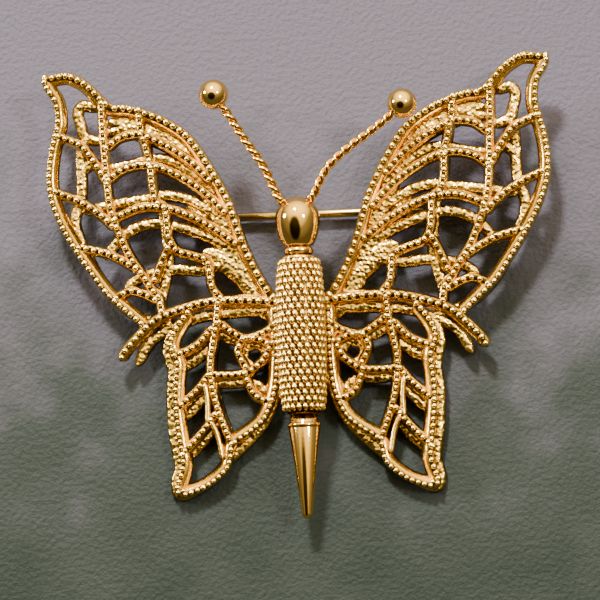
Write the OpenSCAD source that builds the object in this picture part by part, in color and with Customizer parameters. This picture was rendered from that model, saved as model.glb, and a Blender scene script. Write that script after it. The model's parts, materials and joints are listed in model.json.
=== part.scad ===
// Butterfly brooch of pierced, beaded metal, lying on its back.
// X runs across the wings, Y towards the head, Z up from the surface it lies on.

/* [Wings] */
// From the middle line to a forewing's tip
half_span = 27; // [22:0.5:34]
// Height that the wings' outlines are drawn to, from hindwing to forewing tip
wing_h = 44.5; // [38:0.5:54]
// Thickness of the back layer
back_t = 0.9; // [0.6:0.1:1.4]
// Thickness of the front layer without its ridges
front_t = 0.8; // [0.5:0.1:1.4]
// Height of the ridges on the front layer
ridge_h = 0.3; // [0.15:0.05:0.6]
// Width of the rims
rim_w = 1.35; // [1:0.05:1.7]
// Width of the inner ribs
rib_w = 1.15; // [0.8:0.05:1.4]
// Width of a back layer rib
back_rib_w = 1.25; // [0.8:0.05:1.5]
// Width of the back layer's band along the forewing's leading edge
band_w = 2.6; // [1.4:0.1:3.2]
// Radius in the corners where ribs meet
corner_r = 0.22; // [0.1:0.02:0.4]

/* [Body] */
// How far the abdomen starts behind the line that the wings are drawn from
abdomen_back = 0.7; // [0:0.1:2]
// Widest diameter of the egg-shaped head
head_d = 4.7; // [3.8:0.1:5.6]
// Length of the head from the collar to its top
head_len = 5.2; // [4.6:0.1:6.2]
// Diameter of the collar
collar_d = 3.1; // [2.4:0.1:3.6]
// Length of the collar
collar_len = 1.0; // [0.6:0.1:1.6]
// Widest diameter of the abdomen
abdomen_d = 5.0; // [4:0.1:6]
// Length of the abdomen
abdomen_len = 16.4; // [13:0.2:19]
// Rows of grain round the abdomen
grain_rows = 24; // [16:1:34]
// Height of the rows of grain
grain_h = 0.2; // [0.1:0.02:0.25]
// Length of the neck between abdomen and flange
neck_len = 0.9; // [0.6:0.1:1.6]
// Diameter of the flange and the spike's root
flange_d = 3.5; // [2.8:0.1:4.2]
// Length of the flange
flange_len = 0.45; // [0.3:0.05:0.8]
// Length of the tail spike behind its flange
spike_len = 9.4; // [7:0.2:12]
// Diameter of the spike's round end
spike_end_d = 1.15; // [0.8:0.05:1.6]

/* [Antennae] */
// Diameter of the balls on the antennae
ball_d = 3.15; // [2.4:0.05:4]
// Width of the twisted pair of wires
wire_w = 1.0; // [0.7:0.02:1.2]
// Length of one full twist
twist_len = 2.2; // [1.6:0.1:3]

/* [Pin] */
// Diameter of the stem
stem_d = 0.9; // [0.7:0.02:1]
// Length of the stem from hinge to point
stem_len = 23.6; // [20:0.2:26]
// Length of the stem's point
point_len = 4.0; // [2:0.2:5]
// Half the distance from hinge to catch
pin_half = 10.6; // [9:0.2:12]
// Depth of the stem's axis under the back layer
stem_drop = 1.9; // [1.5:0.1:2.6]
// Depth of the hinge and the catch under the back layer
hardware_h = 3.0; // [2.8:0.1:4]
// Diameter of the rivet in the hinge
rivet_d = 0.7; // [0.5:0.05:0.9]
// Diameter of the stem's eye
eye_d = 1.9; // [1.6:0.1:2.1]
// Width of the stem's eye
eye_w = 0.9; // [0.7:0.05:1.2]
// Thickness of an ear of the hinge and a leg of the catch
ear_t = 0.6; // [0.4:0.05:0.9]
// Width of the ears and legs along the stem
ear_w = 1.8; // [1.4:0.1:2.2]
// Thickness of the hinge's and the catch's base
base_t = 0.5; // [0.35:0.05:0.7]

/* [Hidden] */

gold = [0.86, 0.62, 0.28];
deep_gold = [0.72, 0.48, 0.2];
brass = [0.8, 0.68, 0.4];

seam = 0.05;          // gap between pieces that are seated on each other
play = 0.05;          // running gap of the stem's eye and in the catch
cut = 0.5;            // how far a cutting shape runs past what it cuts
smooth = 2;           // steps between two points of a rib
head_steps = 12;      // steps of the head's lower outline
bar_w = 0.65;         // width of the two bars beside the hindwing's spine
base_side = 0.4;      // how far a base stands out beside its ears or legs

// Wings. Each table's columns are [out, up], in hundredths of half_span and of wing_h.
// "up" is zero a little in front of the abdomen.
lead_rim = [[99, 45], [90, 45.7], [85, 44.7], [80, 42.6], [73.5, 38.4], [71, 37.4], [66, 37.2],
            [58, 35.7], [50.5, 33.6], [42.5, 30.2], [37, 26], [33.5, 22.5], [30.5, 19.3], [28, 16.3],
            [25.5, 13], [22.5, 7], [19, 1], [15.5, -3.7], [11, -8.5], [6, -11.5]];
outer_rim = [[99.3, 45], [99.8, 43.5], [98, 40.8], [95.4, 38.2], [94.6, 33.5], [96, 30], [97.6, 26], [98.6, 21],
             [98.3, 16.5], [97, 13], [93.8, 8], [88.4, 2], [82.5, -3.5], [76, -9], [68.5, -13.2], [62.5, -16.5]];
vein_outer = [[76, 38], [75.8, 31], [75, 23.3], [74.6, 18.5], [73.8, 13.6], [72.4, 10], [69.5, 5.1],
              [66, 0.3], [62, -3.4], [58.4, -7], [55.4, -9.5], [54.5, -13.5]];
vein_wavy = [[61.5, 36], [60.5, 30], [57.6, 23], [57, 18], [55.6, 13.6], [52.3, 12], [51.5, 8], [51, 4.8],
             [48, 1.7], [42.4, 0.5], [36.4, -1], [35.4, -4], [34.5, -7.5], [30.4, -10.6]];
vein_spur = [[51, 2.8], [54, -1], [57.5, -6]];
arc_top = [[75, 26.5], [70, 28.9], [66.4, 29.6], [61.6, 29.8], [57.6, 28.9], [49.6, 26.3], [41.2, 22.5], [33.5, 17.5]];
arc_middle = [[74.5, 18.8], [68.7, 21.4], [60.8, 22.4], [53, 21.4], [43.8, 18.5], [35.7, 14.8], [28, 9.7]];
arc_low = [[72, 9.5], [69.3, 10.7], [61.3, 12.3], [52.4, 12], [42.7, 9.9], [33.4, 6.6], [24, 2.3]];
cross_a = [[94, 30.3], [86, 28.2], [82, 26], [77.3, 21.5], [75, 18.5]];
cross_b = [[95.5, 17], [84.7, 14], [77, 10.7], [72, 7.4]];
cross_c = [[87, 3.2], [83.4, 3], [73.6, 1.2], [63, -2.6]];
cross_d = [[72.5, -9.5], [71, -8.6], [66.3, -7.5], [60.4, -8.6], [55.5, -10.3]];
rod = [[7, -11.8], [14, -11.2], [25.3, -10.7], [37, -10.9], [47.7, -12.4], [56.9, -14.6], [63, -17.7],
       [69, -21.6], [71.3, -24.2]];
hind_rim = [[45, -12.5], [49, -15.5], [51.8, -18.5], [52.5, -21.5], [50.4, -25], [51, -30], [51.3, -35.5],
            [50, -43], [49, -49], [51.4, -54], [50.5, -56.3], [47.5, -56.7], [38.2, -54.7], [30.5, -51],
            [28.3, -48], [27.2, -45], [20.5, -42.2], [15.8, -39.8], [12.6, -36.7], [10, -32.8],
            [8.6, -29], [7.9, -24], [8, -18], [8, -11.5]];
spine = [[32.5, -11], [33.4, -16], [35.6, -23], [36.2, -26.4], [36, -29.5], [34.9, -33.6], [32.6, -38.4], [28.5, -45.2]];
hind_a = [[50.5, -23.3], [41.5, -21], [34.6, -16.6]];
hind_b = [[50, -36], [41.4, -31.4], [36.4, -27.5]];
hind_c = [[49, -47], [40.7, -41.9], [34.2, -36.8]];
hind_d = [[36.5, -28], [29, -28.3], [23, -28], [20, -27.2], [15.5, -25], [13, -22.3], [9.5, -19]];
hind_e = [[23, -27.8], [20, -32.6], [16, -34.4], [12.4, -34.6]];
eye_upper = [[32.6, -15.5], [30, -17], [23, -19.6], [17, -19], [12, -17.4], [8.5, -14.5]];
eye_lower = [[23, -19.6], [25.3, -23], [21.7, -27.2]];
eye_top = [[22.7, -19.7], [18, -19.9], [15.3, -20.6], [12.6, -21.6]];
bar_upper = [[38.6, -30], [37.7, -34.5], [37.9, -39.5]];
bar_lower = [[36.6, -39], [34.2, -42.5], [32.5, -48]];

// Every rib of the front layer: its width, the side of its line that it lies on, and its table
front_ribs = [
    [rim_w, 1, lead_rim], [rim_w, -1, outer_rim], [rib_w, 0, vein_outer], [rib_w, 0, vein_wavy],
    [rib_w, 0, vein_spur], [rib_w, 0, arc_top], [rib_w, 0, arc_middle], [rib_w, 0, arc_low],
    [rib_w, 0, cross_a], [rib_w, 0, cross_b], [rib_w, 0, cross_c], [rib_w, 0, cross_d], [rim_w, 0, rod],
    [rim_w, -1, hind_rim], [rib_w, 0, spine], [rib_w, 0, hind_a], [rib_w, 0, hind_b], [rib_w, 0, hind_c],
    [rib_w, 0, hind_d], [rib_w, 0, hind_e], [rib_w, 0, eye_upper], [rib_w, 0, eye_lower],
    [rib_w, 0, eye_top], [bar_w, 0, bar_upper], [bar_w, 0, bar_lower]];

// The back layer, whose smooth ribs show through the front one's gaps
back_tip = [[75.5, 37], [80, 37.3], [84, 37.6], [85.9, 35.8], [84.8, 32.8], [83, 30], [76, 28.6]];
back_rim = [[83, 30], [85, 26.5], [85, 20], [85.5, 15], [88, 9], [82, -0.5], [74, -8.5], [64, -13.5], [50, -16]];
back_band = [[73, 36.2], [64, 35], [50, 31.5], [42, 28.2], [36, 23.5], [30, 16.5], [25, 9], [20, 0], [12, -9.5], [3, -13]];
back_arc_top = [[75.5, 30.5], [67.5, 31.6], [60, 31.8], [52, 30]];
back_vein = [[61, 35], [59.5, 28], [57.5, 22], [56.5, 16], [53.5, 11], [52, 5], [51.5, 0], [53, -5], [55, -10],
             [54, -15]];
back_arc_a = [[85, 21], [82, 23.2], [78.5, 23.3], [75, 22.2], [66, 22.8], [58, 24], [50, 23.5], [42, 20.5],
              [33, 16]];
back_arc_b = [[85, 12], [73, 13.5], [62, 14.3], [53, 15.2], [41.5, 13.5], [28, 8]];
back_arc_c = [[77, 0.5], [68, 6.5], [58, 8.6], [49, 7.7], [38, 5.4], [23, 0.8]];
back_arc_d = [[69, -6.5], [62, -4], [55, -3], [48, -2.6], [38.5, -3], [30, -1.5]];
back_rod = [[3, -13], [18, -13.2], [30, -13.5], [42, -14.4], [53, -17], [60.3, -20], [65.2, -25.2]];
back_hind = [[47, -15.5], [51.5, -18], [53, -22], [51.2, -27], [52, -33], [51.3, -42], [49.6, -49], [51, -53],
             [49, -56], [38, -53], [31, -48.5], [22, -43.5], [15, -38.5], [10, -31], [5.5, -24], [3, -20]];
back_spine = [[32.5, -13.5], [34, -18], [35.8, -24], [36, -29], [34.9, -33], [32.6, -38], [28.5, -45]];
back_cross_a = [[51, -26.5], [43, -24.5], [35, -21]];
back_cross_b = [[51.3, -39.5], [42, -35], [35.5, -31]];
back_cross_c = [[50.3, -49], [41, -44], [33, -38.5]];
back_cross_d = [[35, -30], [28, -30], [22, -30], [17, -31.5], [12, -35]];
back_cross_e = [[34, -18], [27, -19.8], [20, -20], [12, -18.8], [5, -18]];
back_ring = [[23.4, -23.7], [22.1, -21.8], [19, -21], [15.9, -21.8], [14.6, -23.7], [15.9, -25.6], [19, -26.4],
             [22.1, -25.6], [23.4, -23.7], [22.1, -21.8]];
back_leaf = [[38, 1.5], [30, -1], [23, -4.5], [17, -9]];

back_ribs = [
    [back_rib_w, 0, back_tip], [back_rib_w, 0, back_rim], [band_w, 1, back_band], [back_rib_w, 0, back_arc_top],
    [back_rib_w, 0, back_vein], [back_rib_w, 0, back_arc_a], [back_rib_w, 0, back_arc_b],
    [back_rib_w, 0, back_arc_c], [back_rib_w, 0, back_arc_d], [back_rib_w, 0, back_rod],
    [back_rib_w, 0, back_hind], [back_rib_w, 0, back_spine], [back_rib_w, 0, back_cross_a],
    [back_rib_w, 0, back_cross_b], [back_rib_w, 0, back_cross_c], [back_rib_w, 0, back_cross_d],
    [back_rib_w, 0, back_cross_e], [back_rib_w, 0, back_ring], [band_w, 0, back_leaf]];

// Antennae, from just off the head to the ball. Columns are [out, forward] in hundredths of half_span and
// wing_h, and [up] in head diameters above the body's axis.
antenna_left_line = [[-7, 12.5, 0.25], [-9.5, 16, 0.31], [-12.5, 20, 0.38], [-19, 26, 0.5], [-24, 31, 0.58],
                     [-30, 36.5, 0.62]];
antenna_right_line = [[7, 13, 0.17], [9.5, 16, 0.2], [13.5, 19.5, 0.24], [21.5, 23.5, 0.28], [30, 27, 0.3],
                      [36.5, 30, 0.3], [42, 33, 0.3]];

// Points of a wing table in millimetres
function spot(p) = [p[0] / 100 * half_span, p[1] / 100 * wing_h];

// A smooth line through the points of a table: cubic between each pair, by the neighbours' slopes
function bend(a, b, c, d, t) = 0.5 * (2 * b + (c - a) * t + (2 * a - 5 * b + 4 * c - d) * t * t
                                      + (3 * b - a - 3 * c + d) * t * t * t);
function line_through(ps, steps) = let (n = len(ps)) [
    for (i = [0 : n - 2], s = [0 : steps - 1])
        bend(ps[max(i - 1, 0)], ps[i], ps[i + 1], ps[min(i + 2, n - 1)], s / steps),
    ps[n - 1]];

// The line's direction and its left-hand normal at point i
function heading(ps, i) = let (a = ps[max(i - 1, 0)], b = ps[min(i + 1, len(ps) - 1)]) (b - a) / norm(b - a);
function left_of(ps, i) = let (h = heading(ps, i)) [-h[1], h[0]];

// A rib's outline: the line moved to both sides. side 1 or -1 lays the whole width to the left or the right.
function rib_outline(ps, w, side) = let (lo = (side - 1) / 2 * w, hi = (side + 1) / 2 * w, n = len(ps)) concat(
    [for (i = [0 : n - 1]) ps[i] + left_of(ps, i) * hi],
    [for (i = [n - 1 : -1 : 0]) ps[i] + left_of(ps, i) * lo]);
function rib_line(row) = line_through([for (p = row[2]) spot(p)], smooth);

// Heights of the layers in the brooch's own plane, whose zero is the back layer's underside
front_z = back_t + seam;
ridge_z = front_z + front_t;
body_z = back_t + seam + abdomen_d / 2 + grain_h;

// Places along the body
abdomen_y = -abdomen_back;
collar_y = abdomen_y + seam + collar_len;
head_y = collar_y + seam + head_len - head_d / 2;
tail_y = abdomen_y - abdomen_len - seam;
pin_y = head_y + 0.25 * head_d;

// Base of the hinge and the catch, along and across the stem, and the catch's slot
hinge_w = ear_w + 2 * base_side;
hinge_d = eye_w + 2 * play + 2 * ear_t;
catch_gap = stem_d + 2 * play;

// Lying on its back, the brooch stands on hinge and catch and on the tips of its hindwings
foot_y = min([for (p = rib_outline(rib_line([back_rib_w, 0, back_hind]), back_rib_w, 0)) p[1]]);
lean = atan(hardware_h / (pin_y - hinge_d / 2 - foot_y));
top_y = max([for (row = [front_ribs[0], front_ribs[1]]) for (p = rib_outline(rib_line(row), row[0], row[1])) p[1]]);
tail_end_y = tail_y - neck_len - flange_len - spike_len;
high_y = top_y * cos(lean) - front_z * sin(lean);
low_y = (tail_end_y + spike_end_d / 2) * cos(lean) - body_z * sin(lean) - spike_end_d / 2;
shift_y = -(high_y + low_y) / 2;
lift_z = -foot_y * sin(lean);

module lying() {
    translate([0, shift_y, lift_z]) rotate([lean, 0, 0]) children();
}

// A share below 1 keeps that much of each rib's width: at its line, or in its middle where side is 0
module ribs(rows, share) {
    offset(r = -corner_r, $fn = 8) offset(r = corner_r, $fn = 8)
        for (row = rows)
            let (line = rib_line(row), mid = row[1] * row[0] * share / 2)
                polygon(rib_outline([for (i = [0 : len(line) - 1]) line[i] + left_of(line, i) * mid], row[0] * share, 0));
}

// Half the width of the abdomen where the top of the front layer meets it
root_x = sqrt(max(0.1, pow(abdomen_d / 2 + grain_h, 2) - pow(body_z - ridge_z - ridge_h, 2))) + seam;

module front_plan(share) {
    difference() {
        ribs(front_ribs, share);
        translate([-cut, -wing_h]) square([root_x + cut, 2 * wing_h]);
    }
}

module front_wing() {
    translate([0, 0, front_z]) {
        linear_extrude(front_t) front_plan(1);
        linear_extrude(front_t + ridge_h) front_plan(0.5);
    }
}

module front_wing_left() {
    color(gold) lying() mirror([1, 0, 0]) front_wing();
}

module front_wing_right() {
    color(gold) lying() front_wing();
}

module back_wings() {
    bridge_w = 0.6 * abdomen_d;
    color(deep_gold) lying() linear_extrude(back_t) {
        ribs(back_ribs, 1);
        mirror([1, 0]) ribs(back_ribs, 1);
        translate([-bridge_w / 2, tail_y]) square([bridge_w, abdomen_len]);
        for (side = [-1, 1])
            translate([side * pin_half - hinge_w / 2, pin_y - hinge_d / 2]) square([hinge_w, hinge_d]);
    }
}

module on_axis(y) {
    lying() translate([0, y, body_z]) rotate([90, 0, 0]) children();
}

// The head's outline from its top: a quarter circle, then an ellipse that meets the collar at the collar's diameter
reach = head_len - head_d / 2;
fall = reach / sqrt(1 - pow(collar_d / head_d, 2));
module head() {
    color(gold) on_axis(head_y) rotate_extrude($fn = 96) {
        intersection() {
            circle(d = head_d, $fn = 96);
            translate([0, -head_d / 2]) square([head_d / 2, head_d / 2]);
        }
        polygon(concat([[0, 0]],
            [for (i = [0 : head_steps]) let (y = i / head_steps * reach) [head_d / 2 * sqrt(1 - pow(y / fall, 2)), y]],
            [[0, reach]]));
    }
}

module collar() {
    edge = collar_len / 2;
    color(gold) on_axis(collar_y) rotate_extrude($fn = 96) {
        square([collar_d / 2 - edge, collar_len]);
        translate([collar_d / 2 - edge, edge]) circle(r = edge, $fn = 48);
    }
}

// The abdomen's radius at a share t of its length: a barrel whose ends are drawn in
function barrel(t) = abdomen_d / 2 * (0.9 + 0.1 * sin(180 * t)) * (1 - 0.16 * pow(abs(2 * t - 1), 10));

module abdomen() {
    color(gold) on_axis(abdomen_y) rotate_extrude($fn = 96) polygon(concat(
        [[0, 0]],
        [for (i = [0 : grain_rows - 1]) each [
            [barrel(i / grain_rows) - grain_h, i / grain_rows * abdomen_len],
            [barrel((i + 0.5) / grain_rows) + grain_h / 2, (i + 0.5) / grain_rows * abdomen_len]]],
        [[barrel(1) - grain_h, abdomen_len], [0, abdomen_len]]));
}

module tail_spike() {
    neck_r = 0.4 * flange_d;
    end_r = spike_end_d / 2;
    color(gold) on_axis(tail_y) rotate_extrude($fn = 96) {
        polygon([[0, 0], [neck_r, 0], [neck_r, neck_len], [flange_d / 2, neck_len],
                 [flange_d / 2, neck_len + flange_len], [end_r, neck_len + flange_len + spike_len - end_r],
                 [0, neck_len + flange_len + spike_len - end_r]]);
        translate([0, neck_len + flange_len + spike_len - end_r]) intersection() {
            circle(r = end_r, $fn = 48);
            square([end_r, end_r]);
        }
    }
}

// Twisted pair of wires: a section with two lobes that turns as it follows its line
wire_sides = 12;
wire_steps = 12;
head_spot = [0, head_y, body_z];
function antenna_line(table) = let (
    ps = [for (p = table) [p[0] / 100 * half_span, p[1] / 100 * wing_h, body_z + p[2] * head_d]],
    out = (ps[0] - head_spot) / norm(ps[0] - head_spot))
    line_through(concat([head_spot + out * (head_d / 2 + seam)], ps), wire_steps);
function lengths(ps, i) = i == 0 ? 0 : lengths(ps, i - 1) + norm(ps[i] - ps[i - 1]);
function across(h) = let (v = cross(h, [0, 0, 1])) v / norm(v);
function lobed(a) = wire_w / 4 * (abs(cos(a)) + sqrt(max(0, 1 - sin(a) * sin(a) * 0.5)));
function wire_ring(ps, i) = let (
    h = heading(ps, i), s = across(h), u = cross(h, s), turn = 360 * lengths(ps, i) / twist_len)
    [for (k = [0 : wire_sides - 1]) let (a = 360 * k / wire_sides)
        ps[i] + lobed(a) * (cos(a + turn) * s + sin(a + turn) * u)];

module antenna(table) {
    ps = antenna_line(table);
    n = len(ps);
    m = wire_sides;
    polyhedron(
        [for (i = [0 : n - 1]) each wire_ring(ps, i)],
        concat([[for (k = [0 : m - 1]) k]],
               [for (i = [0 : n - 2], k = [0 : m - 1]) each [
                   [i * m + k, (i + 1) * m + k, (i + 1) * m + (k + 1) % m],
                   [i * m + k, (i + 1) * m + (k + 1) % m, i * m + (k + 1) % m]]],
               [[for (k = [m - 1 : -1 : 0]) (n - 1) * m + k]]));
    translate(ps[n - 1]) sphere(d = ball_d, $fn = 64);
}

module antenna_left() {
    color(gold) lying() antenna(antenna_left_line);
}

module antenna_right() {
    color(gold) lying() antenna(antenna_right_line);
}

// Hinge, catch and stem, under the back layer
module ear(y, thick) {
    // an upright of the hinge or the catch, round at its foot
    translate([0, y + thick, 0]) rotate([90, 0, 0]) linear_extrude(thick) {
        translate([-ear_w / 2, -hardware_h + ear_w / 2])
            square([ear_w, hardware_h - ear_w / 2 - base_t / 2 - seam]);
        translate([0, -hardware_h + ear_w / 2]) circle(d = ear_w, $fn = 64);
    }
}

module hardware_base() {
    translate([-hinge_w / 2, -hinge_d / 2, -seam - base_t]) cube([hinge_w, hinge_d, base_t]);
}

module hinge_bracket() {
    color(brass) lying() translate([-pin_half, pin_y, 0]) {
        hardware_base();
        ear(-hinge_d / 2, ear_t);
        ear(hinge_d / 2 - ear_t, ear_t);
        translate([0, hinge_d / 2, -stem_drop]) rotate([90, 0, 0]) cylinder(d = rivet_d, h = hinge_d, $fn = 48);
    }
}

module catch() {
    leg = (hinge_d - catch_gap) / 2;
    color(brass) lying() translate([pin_half, pin_y, 0]) {
        hardware_base();
        ear(-hinge_d / 2, leg);
        ear(hinge_d / 2 - leg, leg);
    }
}

module pin_stem() {
    tip_r = 0.08;
    color(brass) lying() translate([-pin_half, pin_y, -stem_drop]) difference() {
        union() {
            translate([0, eye_w / 2, 0]) rotate([90, 0, 0]) cylinder(d = eye_d, h = eye_w, $fn = 64);
            rotate([0, 90, 0]) cylinder(d = stem_d, h = stem_len - point_len, $fn = 48);
            translate([stem_len - point_len, 0, 0]) rotate([0, 90, 0])
                cylinder(d1 = stem_d, r2 = tip_r, h = point_len, $fn = 48);
        }
        translate([0, eye_w / 2 + cut, 0]) rotate([90, 0, 0])
            cylinder(d = rivet_d + 2 * play, h = eye_w + 2 * cut, $fn = 48);
    }
}

front_wing_left();
front_wing_right();
back_wings();
head();
collar();
abdomen();
tail_spike();
antenna_left();
antenna_right();
hinge_bracket();
catch();
pin_stem();
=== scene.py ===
# Butterfly brooch: two pierced layers of gilt wings, a grained body, twisted antennae and a pin
import json
import bpy
import numpy as np
from mathutils import Matrix


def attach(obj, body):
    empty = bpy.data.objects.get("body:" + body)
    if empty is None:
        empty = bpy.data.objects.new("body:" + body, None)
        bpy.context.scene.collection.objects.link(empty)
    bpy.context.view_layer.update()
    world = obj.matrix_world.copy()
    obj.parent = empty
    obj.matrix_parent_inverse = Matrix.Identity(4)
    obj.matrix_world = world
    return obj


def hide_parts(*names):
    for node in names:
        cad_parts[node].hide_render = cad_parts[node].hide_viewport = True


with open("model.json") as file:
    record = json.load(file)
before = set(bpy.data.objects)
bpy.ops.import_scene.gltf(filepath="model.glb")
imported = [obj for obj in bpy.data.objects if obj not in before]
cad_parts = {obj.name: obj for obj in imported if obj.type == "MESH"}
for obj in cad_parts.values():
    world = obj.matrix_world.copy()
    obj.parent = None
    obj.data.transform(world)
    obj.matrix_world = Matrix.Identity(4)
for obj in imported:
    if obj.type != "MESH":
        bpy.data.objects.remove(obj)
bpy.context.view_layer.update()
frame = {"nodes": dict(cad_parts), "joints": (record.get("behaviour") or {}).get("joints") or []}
mm = 0.001
rng = np.random.default_rng(11)


# Volume inside closed faces: each is fanned into triangles a, b, c, and a . (b x c) / 6 is summed. Where that
# comes out below zero the faces look inwards, and each is turned round.
def outwards(points, faces):
    p = points.reshape(-1, 3)
    volume = 0
    for g in map(np.asarray, faces):
        a, b, c = p[g[:, :1]], p[g[:, 1:-1]], p[g[:, 2:]]
        volume += np.sum(a * np.cross(b, c)) / 6
    return faces if volume > 0 else [np.asarray(g)[:, ::-1] for g in faces]


# Quads of a closed tube of n rings with m points each, and its two end caps.
def tubeFaces(n, m):
    i, k = np.meshgrid(np.arange(n - 1), np.arange(m), indexing="ij")
    k2 = (k + 1) % m
    quads = np.stack([i * m + k, i * m + k2, (i + 1) * m + k2, (i + 1) * m + k], -1).reshape(-1, 4)
    return [quads, np.arange(m)[None, ::-1], (n - 1) * m + np.arange(m)[None]]


# Quads of n rings with m points each, where the last ring joins the first.
def closedFaces(n, m):
    i, k = np.meshgrid(np.arange(n), np.arange(m), indexing="ij")
    i2, k2 = (i + 1) % n, (k + 1) % m
    return [np.stack([i * m + k, i * m + k2, i2 * m + k2, i2 * m + k], -1).reshape(-1, 4)]


# Even angles once round, without the last that would double the first.
def spokeAngles(count):
    return np.linspace(0, 2 * np.pi, count, endpoint=False)


# Distance along a path up to each point: the sum of the lengths before it.
def distances(path):
    return np.concatenate([[0], np.cumsum(np.linalg.norm(np.diff(path, axis=0), axis=1))])


# Unit heading at each point of a path, from its neighbours on both sides.
def headings(path):
    h = np.gradient(path, axis=0)
    return h / np.linalg.norm(h, axis=1, keepdims=True)


# Unit normal to the left of a flat path: the heading turned by a quarter.
def leftOf(path):
    h = headings(path)
    return np.stack([-h[:, 1], h[:, 0]], -1)


# A smooth line through points, at even steps. Between two points it is a cubic in t whose slope at each end is
# half the way between the neighbours of that end.
def lineThrough(points, step):
    p = np.asarray(points, dtype=float)
    samples = 12
    ends = np.concatenate([p[:1], p, p[-1:]])
    t = np.linspace(0, 1, samples, endpoint=False)[None, :, None]
    a, b, c, d = (ends[i:len(ends) - 3 + i, None] for i in range(4))
    fine = 0.5 * (2 * b + (c - a) * t + (2 * a - 5 * b + 4 * c - d) * t ** 2 + (3 * b - a - 3 * c + d) * t ** 3)
    fine = np.concatenate([fine.reshape(-1, p.shape[1]), p[-1:]])
    along = distances(fine)
    count = max(3, int(round(along[-1] / step)) + 1)
    at = np.linspace(0, along[-1], count)
    return np.stack([np.interp(at, along, fine[:, j]) for j in range(p.shape[1])], -1)


# A ball of rings and spokes: z = cos(polar), the rest sin(polar) round the spokes, and one point at each pole.
def ballGrid(rings, spokes):
    polar = np.linspace(0, np.pi, rings + 1)[1:-1]
    around = spokeAngles(spokes)
    grid = np.stack([np.outer(np.sin(polar), np.cos(around)), np.outer(np.sin(polar), np.sin(around)),
                     np.outer(np.cos(polar), np.ones(spokes))], -1)
    points = np.concatenate([[[0, 0, 1.0]], grid.reshape(-1, 3), [[0, 0, -1.0]]])
    i, k = np.meshgrid(np.arange(rings - 2), np.arange(spokes), indexing="ij")
    k2 = (k + 1) % spokes
    quads = np.stack([i * spokes + k, (i + 1) * spokes + k, (i + 1) * spokes + k2, i * spokes + k2], -1) + 1
    s = np.arange(spokes)
    top = np.stack([np.zeros(spokes, int), s + 1, (s + 1) % spokes + 1], -1)
    last = (rings - 2) * spokes + 1
    bottom = np.stack([np.full(spokes, len(points) - 1), last + (s + 1) % spokes, last + s], -1)
    return points, [quads.reshape(-1, 4), top, bottom]


# Copies of one small shape: point = centre + the sum of radius * coordinate * axis over its three own axes.
def scatter(shape, centres, radii, axes, shade):
    points, faces = shape
    p = centres[:, None, :] + np.einsum("nj,pj,njk->npk", radii, points, axes)
    step = len(points) * np.arange(len(centres))[:, None, None]
    groups = [(f[None] + step).reshape(-1, f.shape[1]) for f in faces]
    return p, groups, shade(points)[None, :]


# Random shares for three radii of each of count small shapes: 1 plus spread times a normal draw, kept in limits.
def uneven(count, spread, limits):
    return np.clip(1 + spread * rng.standard_normal((count, 3)), *limits)


# Sizes in mm. Shares: wallRise is how far the wall goes up into the beads' height, topShare a wall top's half width
# in bead radii, capShare the width of its last edge, thinEnd the narrowest section at a rib's end.
wing = {"halfSpan": 27.0, "height": 44.5, "rimWidth": 1.35, "ribWidth": 1.15, "backRibWidth": 1.25, "bandWidth": 2.6,
        "barWidth": 0.65, "taper": 1.1, "backThick": 0.9, "seam": 0.05, "frontThick": 0.8, "ridge": 0.3, "step": 0.22,
        "wallRise": 0.15, "topShare": 0.7, "capShare": 0.6, "thinEnd": 0.02, "beadMargin": 0.025,
        "bar": (1, 1.1, 1.6), "bridgeHalf": 1.5, "padHalf": (1.3, 1.1), "padShare": 0.7, "plateShade": 0.2}
frontZ = wing["backThick"] + wing["seam"]

# Rib tables of one wing: out and up, in hundredths of the half span and of the wing height
leadRim = [[99, 45], [90, 45.7], [85, 44.7], [80, 42.6], [73.5, 38.4], [71, 37.4], [66, 37.2],
           [58, 35.7], [50.5, 33.6], [42.5, 30.2], [37, 26], [33.5, 22.5], [30.5, 19.3], [28, 16.3],
           [25.5, 13], [22.5, 7], [19, 1], [15.5, -3.7], [11, -8.5], [8.2, -10.4]]
outerRim = [[99.3, 45], [99.8, 43.5], [98, 40.8], [95.4, 38.2], [94.6, 33.5], [96, 30], [97.6, 26], [98.6, 21],
            [98.3, 16.5], [97, 13], [93.8, 8], [88.4, 2], [82.5, -3.5], [76, -9], [68.5, -13.2], [62.5, -16.5]]
veinOuter = [[76, 38], [75.8, 31], [75, 23.3], [74.6, 18.5], [73.8, 13.6], [72.4, 10], [69.5, 5.1],
             [66, 0.3], [62, -3.4], [58.4, -7], [55.4, -9.5], [54.5, -13.5]]
veinWavy = [[61.5, 36], [60.5, 30], [57.6, 23], [57, 18], [55.6, 13.6], [52.3, 12], [51.5, 8], [51, 4.8],
            [48, 1.7], [42.4, 0.5], [36.4, -1], [35.4, -4], [34.5, -7.5], [30.4, -10.6]]
veinSpur = [[51, 2.8], [54, -1], [57.5, -6]]
arcTop = [[75, 26.5], [70, 28.9], [66.4, 29.6], [61.6, 29.8], [57.6, 28.9], [49.6, 26.3], [41.2, 22.5], [33.5, 17.5]]
arcMiddle = [[74.5, 18.8], [68.7, 21.4], [60.8, 22.4], [53, 21.4], [43.8, 18.5], [35.7, 14.8], [28, 9.7]]
arcLow = [[72, 9.5], [69.3, 10.7], [61.3, 12.3], [52.4, 12], [42.7, 9.9], [33.4, 6.6], [24, 2.3]]
crossA = [[94, 30.3], [86, 28.2], [82, 26], [77.3, 21.5], [75, 18.5]]
crossB = [[95.5, 17], [84.7, 14], [77, 10.7], [72, 7.4]]
crossC = [[87, 3.2], [83.4, 3], [73.6, 1.2], [63, -2.6]]
crossD = [[72.5, -9.5], [71, -8.6], [66.3, -7.5], [60.4, -8.6], [55.5, -10.3]]
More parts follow.
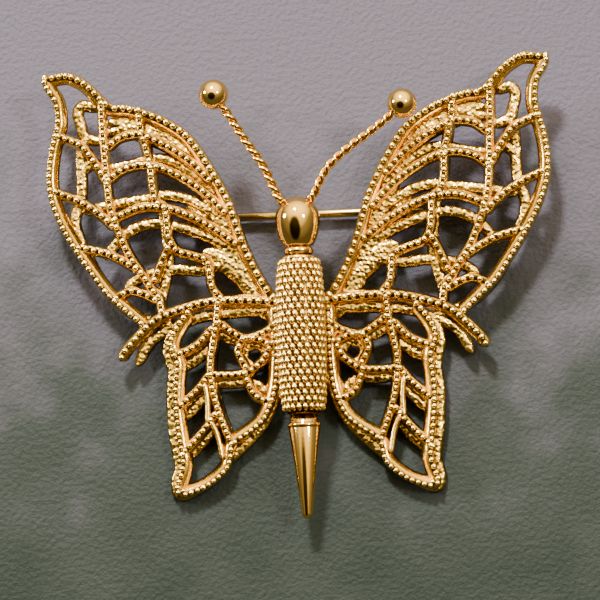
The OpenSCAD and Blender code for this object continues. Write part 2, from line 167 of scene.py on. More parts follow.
rod = [[8.6, -11.6], [14, -11.2], [25.3, -10.7], [37, -10.9], [47.7, -12.4], [56.9, -14.6], [63, -17.7],
       [69, -21.6], [71.1, -24]]
hindRim = [[45, -12.5], [49, -15.5], [51.8, -18.5], [52.5, -21.5], [50.4, -25], [51, -30], [51.3, -35.5],
           [50, -43], [49, -49], [51.4, -54], [50.5, -56.3], [47.5, -56.7], [38.2, -54.7], [30.5, -51],
           [28.3, -48], [27.2, -45], [20.5, -42.2], [15.8, -39.8], [12.6, -36.7], [10.4, -32.8],
           [9.4, -29], [8.9, -24], [8.9, -18], [8.9, -12.5]]
spine = [[32.5, -11], [33.4, -16], [35.6, -23], [36.2, -26.4], [36, -29.5], [34.9, -33.6], [32.6, -38.4],
         [28.5, -45.2]]
hindA = [[50.5, -23.3], [41.5, -21], [34.6, -16.6]]
hindB = [[50, -36], [41.4, -31.4], [36.4, -27.5]]
hindC = [[49, -47], [40.7, -41.9], [34.2, -36.8]]
hindD = [[36.5, -28], [29, -28.3], [23, -28], [20, -27.2], [15.5, -25], [13, -22.3], [9.5, -19]]
hindE = [[23, -27.8], [20, -32.6], [16, -34.4], [12.4, -34.6]]
eyeUpper = [[32.6, -15.5], [30, -17], [23, -19.6], [17, -19], [12, -17.4], [9.4, -14.5]]
eyeLower = [[23, -19.6], [25.3, -23], [21.7, -27.2]]
eyeTop = [[22.7, -19.7], [18, -19.9], [15.3, -20.6], [12.6, -21.6]]
barUpper = [[38.6, -30], [37.7, -34.5], [37.9, -39.5]]
barLower = [[36.6, -39], [34.2, -42.5], [32.5, -48]]

backTip = [[75.5, 37], [80, 37.3], [84, 37.6], [85.9, 35.8], [84.8, 32.8], [83, 30], [76, 28.6]]
backRim = [[83, 30], [85, 26.5], [85, 20], [85.5, 15], [88, 9], [82, -0.5], [74, -8.5], [64, -13.5], [50, -16]]
backBand = [[73, 36.2], [64, 35], [50, 31.5], [42, 28.2], [36, 23.5], [30, 16.5], [25, 9], [20, 0], [12, -9.5],
            [3, -13]]
backArcTop = [[75.5, 30.5], [67.5, 31.6], [60, 31.8], [52, 30]]
backVein = [[61, 35], [59.5, 28], [57.5, 22], [56.5, 16], [53.5, 11], [52, 5], [51.5, 0], [53, -5], [55, -10],
            [54, -15]]
backArcA = [[85, 21], [82, 23.2], [78.5, 23.3], [75, 22.2], [66, 22.8], [58, 24], [50, 23.5], [42, 20.5], [33, 16]]
backArcB = [[85, 12], [73, 13.5], [62, 14.3], [53, 15.2], [41.5, 13.5], [28, 8]]
backArcC = [[77, 0.5], [68, 6.5], [58, 8.6], [49, 7.7], [38, 5.4], [23, 0.8]]
backArcD = [[69, -6.5], [62, -4], [55, -3], [48, -2.6], [38.5, -3], [30, -1.5]]
backRod = [[3, -13], [18, -13.2], [30, -13.5], [42, -14.4], [53, -17], [60.3, -20], [65.2, -25.2]]
backHind = [[47, -15.5], [51.5, -18], [53, -22], [51.2, -27], [52, -33], [51.3, -42], [49.6, -49], [51, -53],
            [49, -56], [38, -53], [31, -48.5], [22, -43.5], [15, -38.5], [10, -31], [5.5, -24], [3, -20]]
backSpine = [[32.5, -13.5], [34, -18], [35.8, -24], [36, -29], [34.9, -33], [32.6, -38], [28.5, -45]]
backCrossA = [[51, -26.5], [43, -24.5], [35, -21]]
backCrossB = [[51.3, -39.5], [42, -35], [35.5, -31]]
backCrossC = [[50.3, -49], [41, -44], [33, -38.5]]
backCrossD = [[35, -30], [28, -30], [22, -30], [17, -31.5], [12, -35]]
backCrossE = [[34, -18], [27, -19.8], [20, -20], [12, -18.8], [5, -18]]
backRing = [[23.4, -23.7], [22.1, -21.8], [19, -21], [15.9, -21.8], [14.6, -23.7], [15.9, -25.6], [19, -26.4],
            [22.1, -25.6], [23.4, -23.7], [22.1, -21.8]]
backLeaf = [[38, 1.5], [30, -1], [23, -4.5], [17, -9]]

# Front ribs by the kind of their bead row; a rim also has the side of its line that it lies on
rimSet = [(leadRim, 1, "rim"), (outerRim, -1, "outer"), (hindRim, -1, "hind"), (rod, 0, "rod")]
ribSet = {"rib": [veinOuter, veinWavy, veinSpur, arcTop, arcMiddle, arcLow, crossA, crossB, crossC, crossD],
          "hind": [spine, hindA, hindB, hindC, hindD, hindE, eyeUpper, eyeLower, eyeTop]}
barSet = [barUpper, barLower]
backSet = [backTip, backRim, backArcTop, backVein, backArcA, backArcB, backArcC, backArcD, backRod, backHind,
           backSpine, backCrossA, backCrossB, backCrossC, backCrossD, backCrossE, backRing]

# Bead rows have a radius at the start, one at the end, and a spacing in bead diameters. squash is along the row,
# across it and up; shade is the painted shade at a bead's middle and how much lighter it is painted from a bead's
# middle to its top.
beads = {"rim": (0.36, 0.46, 1.06), "outer": (0.36, 0.36, 1.0), "rod": (0.44, 0.36, 1.1), "rib": (0.34, 0.34, 1.13),
         "hind": (0.31, 0.31, 1.1)}
beadLook = {"spread": 0.06, "limits": (0.85, 1.12), "squash": (0.96, 1.04, 0.92), "shade": (0.3, 0.8)}
beadShape = ballGrid(6, 10)


# A wing's rib line in mm, moved to its left by side times half a width.
def ribLine(table, width, side):
    path = lineThrough(np.asarray(table) * [wing["halfSpan"] / 100, wing["height"] / 100], wing["step"])
    return path + leftOf(path) * side * width / 2


# Carries a cross-section (across, up, shade) along a flat path: point = path + across * left normal + up.
# Near both ends the section shrinks as a quarter circle, so a free end is round.
def ribTube(path, profile, baseZ, endRound):
    along = distances(path)
    near = np.clip(np.minimum(along, along[-1] - along) / endRound, wing["thinEnd"], 1)
    fit = np.sqrt(1 - (1 - near) ** 2)[:, None]
    xy = path[:, None, :] + leftOf(path)[:, None, :] * (profile[None, :, 0] * fit)[..., None]
    z = baseZ + profile[None, :, 1] * np.ones_like(fit)
    return np.concatenate([xy, z[..., None]], -1), tubeFaces(len(path), len(profile)), profile[None, :, 2]


# A wall whose sides lean in from the foot to a narrow top, where the beads sit. middle moves the top sideways.
# At each height t the half width is the top's plus the share reach of what the foot has more.
def frontProfile(width, top, middle):
    w, h = width / 2, wing["frontThick"] + wing["ridge"] * wing["wallRise"]
    t = np.array([0, 0, 0.12, 0.45, 0.8, 0.95, 1.0])
    reach = np.array([0.9, 1.0, 1.0, 0.8, 0.45, 0.25, 0.0])
    # Painted shade up the wall: a lighter underside, dark at the foot, lighter part way up, and dark again on the top
    # between the beads, painted there in place of the dark gaps.
    shade = np.array([0.45, 0.1, 0.2, 0.45, 0.6, 0.35, 0.0])  # dark again between the beads
    lean = np.stack([top + (w - middle - top) * reach, t * h, shade], -1)
    other = np.stack([top + (w + middle - top) * reach, t * h, shade], -1)
    lean[-1, 0] = other[-1, 0] = top * wing["capShare"]
    return np.concatenate([lean + [middle, 0, 0], (other * [-1, 1, 1] + [middle, 0, 0])[::-1]])


# A half-round rib on straight sides: rows of across in half widths, up in thicknesses, and painted shade, dark on the
# sides near the foot, lighter towards the top and on the underside.
def backProfile(width):
    half = np.array([[0.85, 0, 0.45], [1, 0, 0.1], [1, 0.55, 0.1], [0.86, 0.82, 0.22], [0.5, 0.96, 0.4],
                     [0.12, 1, 0.45]]) * [width / 2, wing["backThick"], 1]
    return np.concatenate([half, (half * [-1, 1, 1])[::-1]])


# Balls along a path, each a little bigger or smaller and pressed flat. The radius runs evenly from first to last,
# and the beads counted up to a point are the sum of step / (2 radius spacing).
def beadRow(path, first, last, spacing, topZ):
    place = np.arange(len(path))
    along = np.linspace(first, last, len(path))
    step = np.linalg.norm(np.diff(path, axis=0), axis=1).mean()
    taken = np.cumsum(step / (2 * spacing * along))
    count = max(2, int(taken[-1]))
    at = np.interp((np.arange(count) + 0.5) / count * taken[-1], taken, place)
    radius = np.interp(at, place, along)[:, None]
    h = headings(path)
    x, y, hx, hy = (np.interp(at, place, values) for values in (path[:, 0], path[:, 1], h[:, 0], h[:, 1]))
    turn = np.arctan2(hy, hx)
    radii = radius * uneven(count, beadLook["spread"], beadLook["limits"]) * beadLook["squash"]
    centres = np.stack([x, y, np.full(count, topZ) - radii[:, 2]], -1)
    zero, one = np.zeros(count), np.ones(count)
    axes = np.stack([np.stack([np.cos(turn), np.sin(turn), zero], -1),
                     np.stack([-np.sin(turn), np.cos(turn), zero], -1),
                     np.stack([zero, zero, one], -1)], 1)
    # Painted shade on each bead: lighter towards its top, darker towards its foot.
    base, gain = beadLook["shade"]
    return scatter(beadShape, centres, radii, axes, lambda p: np.clip(base + gain * p[:, 2], 0, 1))


# Each rib is a leaning wall with its beads. On a rim both wall top and beads stand off the middle by edge, which is
# half the width less a bead's radius and a margin. The plain bars are lower, half-round ribs.
def frontWing():
    parts = []
    top = frontZ + wing["frontThick"] + wing["ridge"]
    rows = [(table, side, wing["rimWidth"], kind) for table, side, kind in rimSet]
    rows += [(table, 0, wing["ribWidth"], kind) for kind, tables in ribSet.items() for table in tables]
    for table, side, width, kind in rows:
        first, last, spacing = beads[kind]
        edge = side * (width / 2 - max(first, last) - wing["beadMargin"])
        path = ribLine(table, width, side)
        profile = frontProfile(width, min(first, last) * wing["topShare"], -edge)
        parts.append(ribTube(path, profile, frontZ, width / 2))
        parts.append(beadRow(path - leftOf(path) * edge, first, last, spacing, top))
    for table in barSet:
        width = wing["barWidth"]
        # A bar's section is the back rib's times bar: across, up, and its painted shade made lighter.
        parts.append(ribTube(ribLine(table, width, 0), backProfile(width) * wing["bar"], frontZ, width / 2))
    return parts


# Half-round ribs under the front layer; the band, beside its line, and the leaf are the wide ones.
def backWing():
    rows = [(table, 0, wing["backRibWidth"]) for table in backSet]
    rows += [(backBand, 1, wing["bandWidth"]), (backLeaf, 0, wing["bandWidth"])]
    return [ribTube(ribLine(table, width, side), backProfile(width), 0, width * wing["taper"])
            for table, side, width in rows]


# The other side's wing: x changes sign and every face turns round.
def mirrored(parts):
    return [(p * [-1, 1, 1], [np.asarray(g)[..., ::-1] for g in f], s) for p, f, s in parts]


# A box between its lowest and highest x, y and z: one ring of four corners, carried up.
def plate(lowX, highX, lowY, highY, highZ):
    ring = np.array([[lowX, lowY], [highX, lowY], [highX, highY], [lowX, highY]])
    grid = np.stack([np.concatenate([ring, np.full((4, 1), z)], 1) for z in (0, highZ)])
    # The whole box takes one low level of painted shade.
    return grid, tubeFaces(2, 4), wing["plateShade"]


# Along the body: start is the abdomen's front end. swell is the share that the middle is fuller by, and the ends draw
# in by drawnIn. A pellet's radii are along, across and up, slanted by slant degrees. shade is a pellet's painted
# shade at its middle and how much lighter it is painted towards its top; ringShade is the front ring's one painted
# level.
abdomen = {"start": -0.7, "length": 16.4, "radius": 2.5, "swell": 0.1, "drawnIn": 0.16, "drawnPower": 10,
           "grain": 0.2, "topRing": 0.22, "ringShade": 0.7, "rows": 24, "perRow": 19, "steps": 60, "spokes": 72,
           "sunk": 0.9, "pellet": (0.49, 0.31, 0.32), "spread": 0.05, "limits": (0.85, 1.15), "slant": 12,
           "slantSpread": 0.1, "shade": (0.2, 0.9)}
bodyZ = frontZ + abdomen["radius"] + abdomen["grain"]
poleRadius = 0.05


# Turns a profile (along, radius) round the body's axis: x = radius sin, z = the axis's height + radius cos.
def lathe(profile, spokes, shade):
    pr = np.asarray(profile, dtype=float)
    a = spokeAngles(spokes)
    grid = np.stack([np.outer(pr[:, 1], np.sin(a)), np.repeat(pr[:, :1], spokes, 1),
                     bodyZ + np.outer(pr[:, 1], np.cos(a))], -1)
    return grid, tubeFaces(len(pr), spokes), shade


# Profile points on a circle, from one angle to another; 0 points forward along the body.
def arc(centreAlong, centreRadius, r, start, stop, count):
    a = np.radians(np.linspace(start, stop, count))
    return np.stack([centreAlong + r * np.cos(a), centreRadius + r * np.sin(a)], -1)


# Radius at a share t of the abdomen: a half sine fuller in the middle, times an end that draws in as a power.
def barrel(t):
    swell = abdomen["swell"]
    drawn = 1 - abdomen["drawnIn"] * np.abs(2 * t - 1) ** abdomen["drawnPower"]
    return abdomen["radius"] * (1 - swell + swell * np.sin(np.pi * t)) * drawn


# A barrel core, painted in the darkest shade so that the gaps between pellets read as shade, a smooth ring at its
# front end, and rows of slanted pellets, painted lighter towards their tops. Every second row is turned by half a
# pellet, and each pellet's own axes are the slant mixed from along and across, and outwards.
def abdomenParts():
    s = abdomen
    t = np.linspace(0, 1, s["steps"])
    core = np.stack([s["start"] - t * s["length"], barrel(t) - s["grain"]], -1)
    ring = arc(s["start"] - s["topRing"], barrel(0) - s["grain"], s["topRing"], 0, 360, 17)[:-1]
    ringGrid = lathe(ring, s["spokes"], 0)[0]
    parts = [lathe(core, s["spokes"], 0.0), (ringGrid, closedFaces(len(ring), s["spokes"]), s["ringShade"])]
    row, spoke = (g.reshape(-1) for g in np.meshgrid(np.arange(1, s["rows"]), np.arange(s["perRow"]), indexing="ij"))
    share = row / s["rows"]
    angle = 2 * np.pi * (spoke + 0.5 * (row % 2)) / s["perRow"]
    out = np.stack([np.sin(angle), 0 * angle, np.cos(angle)], -1)
    radius = barrel(share) - s["sunk"] * s["grain"]
    axis = np.stack([0 * share, s["start"] - share * s["length"], bodyZ + 0 * share], -1)
    across = np.stack([np.cos(angle), 0 * angle, -np.sin(angle)], -1)
    along = np.broadcast_to([0.0, -1.0, 0.0], across.shape)
    slant = (np.radians(s["slant"]) + s["slantSpread"] * rng.standard_normal(len(angle)))[:, None]
    axes = np.stack([along * np.cos(slant) + across * np.sin(slant), across * np.cos(slant) - along * np.sin(slant),
                     out], 1)
    radii = np.array(s["pellet"]) * uneven(len(angle), s["spread"], s["limits"])
    base, gain = s["shade"]
    parts.append(scatter(ballGrid(6, 8), out * radius[:, None] + axis, radii, axes,
                         lambda p: np.clip(base + gain * p[:, 2], 0, 1)))
    return parts


collar = {"length": 1.0, "radius": 1.55}
collarY = abdomen["start"] + wing["seam"] + collar["length"]


# A flat ring with a rounded rim: half a circle as thick as the collar is long.
def collarProfile():
    r = collar["length"] / 2
    rim = arc(collarY - r, collar["radius"] - r, r, 0, 180, 24)
    return np.concatenate([[[collarY, poleRadius]], rim, [[collarY - 2 * r, poleRadius]]])


head = {"radius": 2.35, "length": 5.2}
headY = collarY + wing["seam"] + head["length"] - head["radius"]


# A quarter circle from the top, then an ellipse that meets the collar at the collar's radius.
def headProfile():
    r = head["radius"]
    ball = arc(headY, 0, r, 1, 90, 30)
    reach = head["length"] - r
    fall = reach / np.sqrt(1 - (collar["radius"] / r) ** 2)
    down = np.linspace(0, reach, 24)[1:]
    egg = np.stack([headY - down, r * np.sqrt(1 - (down / fall) ** 2)], -1)
    return np.concatenate([ball, egg, [[headY - reach, poleRadius]]])


tail = {"neckLength": 0.9, "neckRadius": 1.4, "flangeRadius": 1.75, "flangeLength": 0.45, "spikeLength": 9.397,
        "endRadius": 0.575, "fillet": 0.08, "edge": 0.06, "step": 0.02, "inset": 0.1}
tailY = abdomen["start"] - abdomen["length"] - wing["seam"]


# A neck, a flange with softened edges, and a straight taper that ends in a small ball.
def tailProfile():
    t, e, soft = tail, tail["edge"], tail["fillet"]
    neck, flange = t["neckRadius"], t["flangeRadius"]
    y1 = tailY - t["neckLength"]
    y2 = y1 - t["flangeLength"]
    yEnd = y2 - t["spikeLength"]
    end = arc(yEnd + t["endRadius"], 0, t["endRadius"], 95, 178, 12)
    return np.concatenate([
        [[tailY, poleRadius], [tailY, neck], [y1 + soft, neck], [y1, neck + e], [y1, flange - soft],
         [y1 - e, flange], [y2 + e, flange], [y2 + t["step"], flange - 2 * e], [y2 - e, flange - t["inset"]]], end])


antenna = {"ballRadius": 1.572, "wireWidth": 1.0, "twist": 2.2, "step": 0.12, "sides": 10, "fullness": 1.04,
           "wireShade": 0.6, "ballShade": 0.8}

# Out and forward in hundredths of half span and wing height, up in head diameters over the body's axis
antennaLeftLine = [[-7, 12.5, 0.25], [-9.5, 16, 0.31], [-12.5, 20, 0.38], [-19, 26, 0.5], [-24, 31, 0.58],
                   [-30, 36.5, 0.62]]
antennaRightLine = [[7, 13, 0.17], [9.5, 16, 0.2], [13.5, 19.5, 0.24], [21.5, 23.5, 0.28], [30, 27, 0.3],
                    [36.5, 30, 0.3], [42, 33, 0.3]]


# Two unit vectors across a path: level to its side, and side x heading.
def acrossPath(path):
    h = headings(path)
    side = np.cross(h, [0, 0, 1.0])
    side /= np.linalg.norm(side, axis=1, keepdims=True)
    return side, np.cross(side, h)


# A wire carried round a helix: the strand's centre turns about the antenna's line, once per twist.
def strand(path, phase):
    side, up = acrossPath(path)
    r = antenna["wireWidth"] / 4
    turn = 2 * np.pi * distances(path)[:, None] / antenna["twist"] + phase
    centre = path + r * (np.cos(turn) * side + np.sin(turn) * up)
    side, up = (v[:, None] for v in acrossPath(centre))
    a = spokeAngles(antenna["sides"])[None, :, None]
    grid = centre[:, None] + r * antenna["fullness"] * (np.cos(a) * side - np.sin(a) * up)
    return grid, tubeFaces(len(path), antenna["sides"]), antenna["wireShade"]


# Two strands half a turn apart, on a line that starts on the head's surface and ends in the middle of a ball.
def antennaParts(table):
    headSpot = np.array([0, headY, bodyZ])
    t = np.asarray(table, dtype=float) * [wing["halfSpan"] / 100, wing["height"] / 100, 2 * head["radius"]]
    t[:, 2] += bodyZ
    out = (t[0] - headSpot) / np.linalg.norm(t[0] - headSpot)
    start = headSpot + out * (head["radius"] + wing["seam"])
    path = lineThrough(np.concatenate([[start], t]), antenna["step"])
    points, faces = ballGrid(24, 36)
    ball = (path[-1] + points * antenna["ballRadius"], faces, antenna["ballShade"])
    return [strand(path, 0), strand(path, np.pi), ball]


# From the hinge to the point in mm. root is where the wire starts in the eye and where it is full; pointShape has
# shares of the point's length and of the radius; eyeEdge is the eye's straight half width as a share of its width.
pin = {"half": 10.6, "drop": 1.9, "radius": 0.45, "length": 23.6, "point": 4.0, "tip": 0.08, "tipLength": 0.05,
       "endFlat": 0.02, "root": (0.62, 0.7), "rootRadius": 0.3, "pointShape": ((1, 1), (0.6, 0.78), (0.25, 0.44)),
       "sides": 24, "eyeRadius": 0.95, "eyeWidth": 0.9, "holeRadius": 0.4, "eyeBevel": 0.08, "eyeEdge": 0.42,
       "eyeSteps": 40, "wireShade": 0.6, "eyeShade": 0.5}
pinY = headY + 0.5 * head["radius"]


# A wire turned round the stem's axis, and an eye: a ring's section turned round the hinge's axis.
def stemParts():
    p = pin
    tipY, shape = p["length"], np.array(p["pointShape"])
    along = np.array([*p["root"], *(tipY - p["point"] * shape[:, 0]), tipY - p["tipLength"], tipY])
    radius = np.array([p["rootRadius"], p["radius"], *(p["radius"] * shape[:, 1]), p["tip"], p["endFlat"]])
    a = spokeAngles(p["sides"])
    wire = np.stack([np.repeat(along[:, None] - p["half"], p["sides"], 1), pinY - np.outer(radius, np.cos(a)),
                     -p["drop"] + np.outer(radius, np.sin(a))], -1)
    hole, outer, inner, edge = p["holeRadius"], p["eyeRadius"], p["eyeRadius"] - p["eyeBevel"], p["eyeEdge"]
    ring = np.array([[hole, -0.5], [hole, 0.5], [inner, 0.5], [outer, edge], [outer, -edge], [inner, -0.5]])
    b = spokeAngles(p["eyeSteps"])
    eye = np.stack([-p["half"] + np.outer(np.cos(b), ring[:, 0]),
                    pinY + np.repeat(ring[None, :, 1], p["eyeSteps"], 0) * p["eyeWidth"],
                    -p["drop"] + np.outer(np.sin(b), ring[:, 0])], -1)
    return [(wire, tubeFaces(len(along), p["sides"]), p["wireShade"]),
            (eye, closedFaces(p["eyeSteps"], len(ring)), p["eyeShade"])]


# A bridge under the abdomen joins the back layer's two sides, and a pad on each side carries a fitting of the pin.
def backPlates():
    padX, padY = wing["padHalf"]
    half, thick = wing["bridgeHalf"], wing["backThick"]
    plates = [plate(-half, half, tailY, tailY + abdomen["length"], thick)]
    return plates + [plate(x - padX, x + padX, pinY - padY, pinY + padY, thick * wing["padShare"])
                     for x in (-pin["half"], pin["half"])]


# The brooch lies leaning on its hinge, catch and hindwings: the hinge's axis and place give that pose
hinge = frame["joints"][0]
leanSin, leanCos = hinge["axis"][2], hinge["axis"][1]


# Points of the brooch's own plane, leaned about X by the hinge axis's slope.
def turned(points):
    x, y, z = np.moveaxis(np.asarray(points, dtype=float), -1, 0)
    return np.stack([x, y * leanCos - z * leanSin, y * leanSin + z * leanCos], -1)


lyingShift = np.array(hinge["pos_m"]) / mm - turned([-pin["half"], pinY, -pin["drop"]])


# The same points in metres, shifted so that the hinge comes to its place.
def lying(points):
    return (turned(points) + lyingShift) * mm


def addObject(name, data):
    obj = bpy.data.objects.new(name, data)
    bpy.context.scene.collection.objects.link(obj)
    return obj


# Joins grids of points into one mesh. Each part is (points, faces, shade), shade being a painted shade level per
# point, 0 deep down to 1 on top, kept as a point attribute that the materials turn into colour.
def makePiece(name, parts, material, bodyName, replaced):
    points, faces, shades, start = [], [], [], 0
    for p, f, s in parts:
        points.append(p.reshape(-1, 3))
        shades.append(np.broadcast_to(s, p.shape[:-1]).reshape(-1))
        faces.extend(q for g in outwards(p, f) for q in (g + start).tolist())
        start += len(points[-1])
    mesh = bpy.data.meshes.new(name)
    mesh.from_pydata(lying(np.concatenate(points)).tolist(), [], faces)
    painted_shade = mesh.attributes.new("painted_shade", "FLOAT", "POINT")
    painted_shade.data.foreach_set("value", np.concatenate(shades).astype(np.float32))
    mesh.polygons.foreach_set("use_smooth", np.ones(len(mesh.polygons), dtype=bool))
    mesh.materials.append(material)
    mesh.update()
    obj = addObject(name, mesh)
    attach(obj, bodyName)
    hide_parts(*replaced)
    print(name, len(mesh.vertices), "points")


def newMaterial(name):
    m = bpy.data.materials.new(name)
    m.use_nodes = True
    return m, m.node_tree.nodes, m.node_tree.links


def noiseNode(nodes, links, place, scale, detail):
    n = nodes.new("ShaderNodeTexNoise")
    n.inputs["Scale"].default_value = scale
    n.inputs["Detail"].default_value = detail
    links.new(place.outputs["Object"], n.inputs["Vector"])
    return n.outputs["Fac"]


# Brings a value from one pair of limits to another, in a straight line or as a smooth step.
def mapped(nodes, links, value, source, target, kind="LINEAR"):
    n = nodes.new("ShaderNodeMapRange")
    n.interpolation_type = kind
    for side, pair in (("From", source), ("To", target)):
        n.inputs[side + " Min"].default_value, n.inputs[side + " Max"].default_value = pair
    links.new(value, n.inputs["Value"])
    return n.outputs["Result"]


# A colour ramp from a value to a socket; stopList has a position and a colour for each stop, from low to high.
def colourRamp(nodes, links, value, stopList, socket):
    tone = nodes.new("ShaderNodeValToRGB")
    stops = tone.color_ramp.elements
    for k in (0, -1):
        stops[k].position, stops[k].color = stopList[k][0], (*stopList[k][1], 1)
    for position, colour in stopList[1:-1]:
        stops.new(position).color = (*colour, 1)
    links.new(value, tone.inputs["Fac"])
    links.new(tone.outputs["Color"], socket)


def bumpNode(nodes, links, height, distance):
    n = nodes.new("ShaderNodeBump")
    n.inputs["Distance"].default_value = distance
    links.new(height, n.inputs["Height"])
    return n


# Colours of the gilt ramps, darkest first: painted shade for recesses and the feet of walls, the walls' middle tone,
# and painted light on tops. The polished and stem pairs each run from a darker to a lighter tone. patch and grain are
# noise scales, ramp the ramp's ends and roughSpread the roughness limits.
finishAndPaintedShade = {"recessShade": (0.09, 0.042, 0.005), "wall": (0.80, 0.50, 0.08), "top": (1.0, 0.74, 0.22),
          "polishedDeep": (0.76, 0.42, 0.06), "polished": (1.0, 0.65, 0.17), "stemDeep": (0.38, 0.24, 0.05),
          "stem": (0.85, 0.64, 0.22), "patch": 380, "grain": 2500, "ramp": (0.05, 0.85), "roughSpread": (0.7, 1.4)}


# Gilt metal: the painted shade attribute plus cloudy noise, a random tone, picks the colour, from brown painted shade
# in recesses to pale painted light on tops.
# Roughness follows the same clouds; the bump is fine pitting, or rounded cells where lumps is above 0.
def giltMaterial(name, colours, rough, cloud, pitting, lumps):
    m, nodes, links = newMaterial(name)
    shader = nodes["Principled BSDF"]
    shader.inputs["Metallic"].default_value = 1.0
    place = nodes.new("ShaderNodeTexCoord")
    painted_shade = nodes.new("ShaderNodeAttribute")
    painted_shade.attribute_name = "painted_shade"
    patches = noiseNode(nodes, links, place, finishAndPaintedShade["patch"], 4)
    total = nodes.new("ShaderNodeMath")
    links.new(painted_shade.outputs["Fac"], total.inputs[0])
    links.new(mapped(nodes, links, patches, (0, 1), (-cloud, cloud)), total.inputs[1])
    stopList = list(zip(np.linspace(*finishAndPaintedShade["ramp"], len(colours)).tolist(), colours))
    colourRamp(nodes, links, total.outputs[0], stopList, shader.inputs["Base Color"])
    roughLimits = [rough * share for share in finishAndPaintedShade["roughSpread"]]
    links.new(mapped(nodes, links, patches, (0, 1), roughLimits), shader.inputs["Roughness"])
    bump = bumpNode(nodes, links, noiseNode(nodes, links, place, finishAndPaintedShade["grain"], 3), pitting)
    if lumps > 0:
        cells = nodes.new("ShaderNodeTexVoronoi")
        cells.feature = "SMOOTH_F1"
        cells.inputs["Scale"].default_value = finishAndPaintedShade["grain"]
        links.new(place.outputs["Object"], cells.inputs["Vector"])
        pits, bump = bump, bumpNode(nodes, links, cells.outputs["Distance"], lumps)
        bump.invert = True
        links.new(pits.outputs["Normal"], bump.inputs["Normal"])
    links.new(bump.outputs["Normal"], shader.inputs["Normal"])
    return m


gilt = [finishAndPaintedShade["recessShade"], finishAndPaintedShade["wall"], finishAndPaintedShade["top"]]
bright = [finishAndPaintedShade["polishedDeep"], finishAndPaintedShade["polished"]]
brass = [finishAndPaintedShade["stemDeep"], finishAndPaintedShade["stem"]]
castGold = giltMaterial("cast_gold", gilt, rough=0.19, cloud=0.12, pitting=0.00003, lumps=0)
backGold = giltMaterial("back_gold", gilt, rough=0.22, cloud=0.26, pitting=0.00004, lumps=0.00014)
grainGold = giltMaterial("grain_gold", gilt, rough=0.17, cloud=0.1, pitting=0.00002, lumps=0)
polishedGold = giltMaterial("polished_gold", bright, rough=0.06, cloud=0.15, pitting=0.000003, lumps=0)
stemBrass = giltMaterial("stem_brass", brass, rough=0.2, cloud=0.2, pitting=0.00001, lumps=0)

print("wings")
front = frontWing()
back = backWing()
makePiece("front_wing_right_beaded", front, castGold, "brooch", ["front_wing_right"])
makePiece("front_wing_left_beaded", mirrored(front), castGold, "brooch", ["front_wing_left"])
makePiece("back_wings_ribbed", back + mirrored(back) + backPlates(), backGold, "brooch", ["back_wings"])

print("body")
makePiece("abdomen_grained", abdomenParts(), grainGold, "brooch", ["abdomen"])
makePiece("head_ball", [lathe(headProfile(), 96, 0.7)], polishedGold, "brooch", ["head"])
makePiece("collar_ring", [lathe(collarProfile(), 96, 0.6)], polishedGold, "brooch", ["collar"])
makePiece("tail_spike_turned", [lathe(tailProfile(), 96, 0.6)], polishedGold, "brooch",
          ["tail_spike"])

print("antennae")
makePiece("antenna_left_twisted", antennaParts(antennaLeftLine), polishedGold, "brooch",
          ["antenna_left"])
makePiece("antenna_right_twisted", antennaParts(antennaRightLine), polishedGold, "brooch",
          ["antenna_right"])

print("pin")
makePiece("pin_stem_wire", stemParts(), stemBrass, "stem", ["pin_stem"])
for nodeName in ("hinge_bracket", "catch"):
    node = frame["nodes"][nodeName]
    node.data.materials.clear()
    node.data.materials.append(stemBrass)

ground = {"half": 0.6, "rough": 0.5, "shine": 0.04, "cloud": 110, "cloudShare": 0.8, "ahead": (-0.03, 0.05),
          "stops": [(0.12, (0.012, 0.018, 0.013)), (0.6, (0.027, 0.032, 0.028)), (1.0, (0.085, 0.075, 0.095))],
          "leather": 2000, "bump": 0.0002}


# A level square. Its colour follows how far ahead a point is plus a share of cloudy noise: the floor's own dark
# green, with cloudy tone, going to a pale lilac ahead that is painted sheen.
def stage():
    s = ground["half"]
    mesh = bpy.data.meshes.new("floor")
    mesh.from_pydata([(-s, -s, 0), (s, -s, 0), (s, s, 0), (-s, s, 0)], [], [(0, 1, 2, 3)])
    floor = addObject("floor", mesh)
    m, nodes, links = newMaterial("grey_floor")
    shader = nodes["Principled BSDF"]
    shader.inputs["Roughness"].default_value = ground["rough"]
    shader.inputs["Specular IOR Level"].default_value = ground["shine"]
    place = nodes.new("ShaderNodeTexCoord")
    split = nodes.new("ShaderNodeSeparateXYZ")
    links.new(place.outputs["Object"], split.inputs["Vector"])
    total = nodes.new("ShaderNodeMath")
    total.operation = "MULTIPLY_ADD"
    total.inputs[1].default_value = ground["cloudShare"]
    links.new(noiseNode(nodes, links, place, ground["cloud"], 4), total.inputs[0])
    links.new(mapped(nodes, links, split.outputs["Y"], ground["ahead"], (0, 1)), total.inputs[2])
    colourRamp(nodes, links, total.outputs[0], ground["stops"], shader.inputs["Base Color"])
    leather = bumpNode(nodes, links, noiseNode(nodes, links, place, ground["leather"], 2), ground["bump"])
    links.new(leather.outputs["Normal"], shader.inputs["Normal"])
    mesh.materials.append(m)


# Puts an object at a place, with the three columns of axes as its own x, y and z.
def setAxes(obj, axes, at):
    obj.matrix_world = Matrix([[*axes[i], at[i]] for i in range(3)] + [[0, 0, 0, 1]])


# Each lamp's place in m, the side of its square in m, and its power in watts
lamps = {"key_from_head": ((-0.08, 0.36, 0.44), 0.07, 9), "fill_over": ((0.3, 0.05, 0.45), 0.06, 2),
         "rim_left": ((-0.45, 0.1, 0.22), 0.10, 3)}


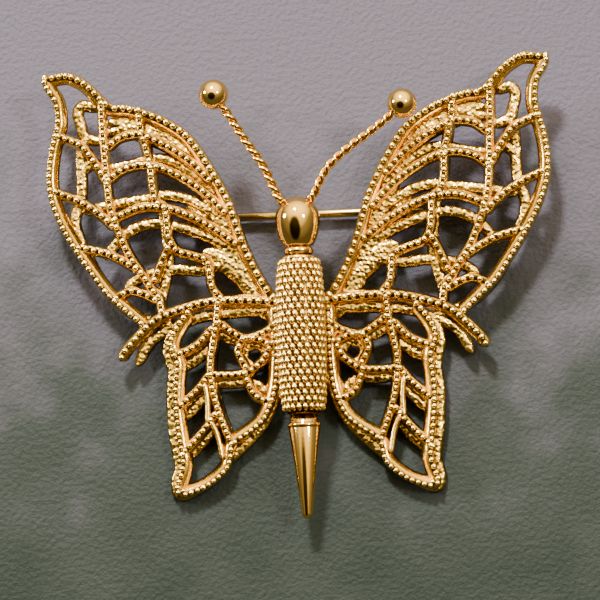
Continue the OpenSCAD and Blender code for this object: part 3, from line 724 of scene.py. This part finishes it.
# A square area light that looks at the brooch: its z points from the origin to its place.
def softBox(name, place, size, watts):
    light = bpy.data.lights.new(name, "AREA")
    light.size = size
    light.energy = watts
    at = np.array(place, dtype=float)
    z = at / np.linalg.norm(at)
    x = np.cross([0, 1, 0.01], z)
    x /= np.linalg.norm(x)
    setAxes(addObject(name, light), np.stack([x, np.cross(z, x), z], 1), at)


studio = {"stops": [(0.0, (0.13, 0.11, 0.07)), (0.45, (0.42, 0.35, 0.22)), (0.95, (3.6, 2.9, 1.45))],
          "towards": (0.05, 0.62, 0.78), "photographer": (-0.20, -0.42, 0.885), "shadeFrom": (0.82, 0.93),
          "shadeTo": (1.0, 0.03)}


# Dot product of the world's direction with one direction.
def towardsNode(nodes, links, place, direction):
    dot = nodes.new("ShaderNodeVectorMath")
    dot.operation = "DOT_PRODUCT"
    dot.inputs[1].default_value = direction
    links.new(place.outputs["Generated"], dot.inputs[0])
    return dot.outputs["Value"]


# The room's brightness follows the direction's dot product with one that points over the head. Round the
# photographer, who stands in the way of the light, it falls to a small share.
def room():
    world = bpy.data.worlds.new("studio")
    bpy.context.scene.world = world
    world.use_nodes = True
    nodes, links = world.node_tree.nodes, world.node_tree.links
    background = nodes["Background"].inputs
    place = nodes.new("ShaderNodeTexCoord")
    colourRamp(nodes, links, towardsNode(nodes, links, place, studio["towards"]), studio["stops"],
               background["Color"])
    facing = towardsNode(nodes, links, place, studio["photographer"])
    shade = mapped(nodes, links, facing, studio["shadeFrom"], studio["shadeTo"], "SMOOTHSTEP")
    links.new(shade, background["Strength"])


# Photograph's view: degrees leaned across and towards the tail, then turned; distance and scale at the origin
view = {"across": 3.9, "tailward": -12.0, "turn": -1.5, "distance": 0.30, "pixelsPerMm": 9.446,
        "originX": 303.8, "originY": 296.4, "imageSize": 600, "sensor": 36.0, "clipStart": 0.01}


# Looks along the photograph's line of sight: up is the turned Y axis, side its cross product.
def camera():
    a, b, turn = (np.radians(view[k]) for k in ("across", "tailward", "turn"))
    back = np.array([np.sin(a) * np.cos(b), np.sin(b), np.cos(a) * np.cos(b)])
    side = np.cross([-np.sin(turn), np.cos(turn), 0], back)
    side /= np.linalg.norm(side)
    up = np.cross(back, side)
    half = view["imageSize"] / 2
    aim = (side * (half - view["originX"]) + up * (view["originY"] - half)) / view["pixelsPerMm"] * mm
    data = bpy.data.cameras.new("camera")
    data.sensor_width = view["sensor"]
    data.lens = view["pixelsPerMm"] / mm * view["distance"] * view["sensor"] / view["imageSize"]
    data.clip_start = view["clipStart"]
    obj = addObject("camera", data)
    setAxes(obj, np.stack([side, up, back], 1), aim + back * view["distance"])
    bpy.context.scene.camera = obj


print("stage, lights and camera")
stage()
for lampName, (place, size, watts) in lamps.items():
    softBox(lampName, place, size, watts)
room()
camera()
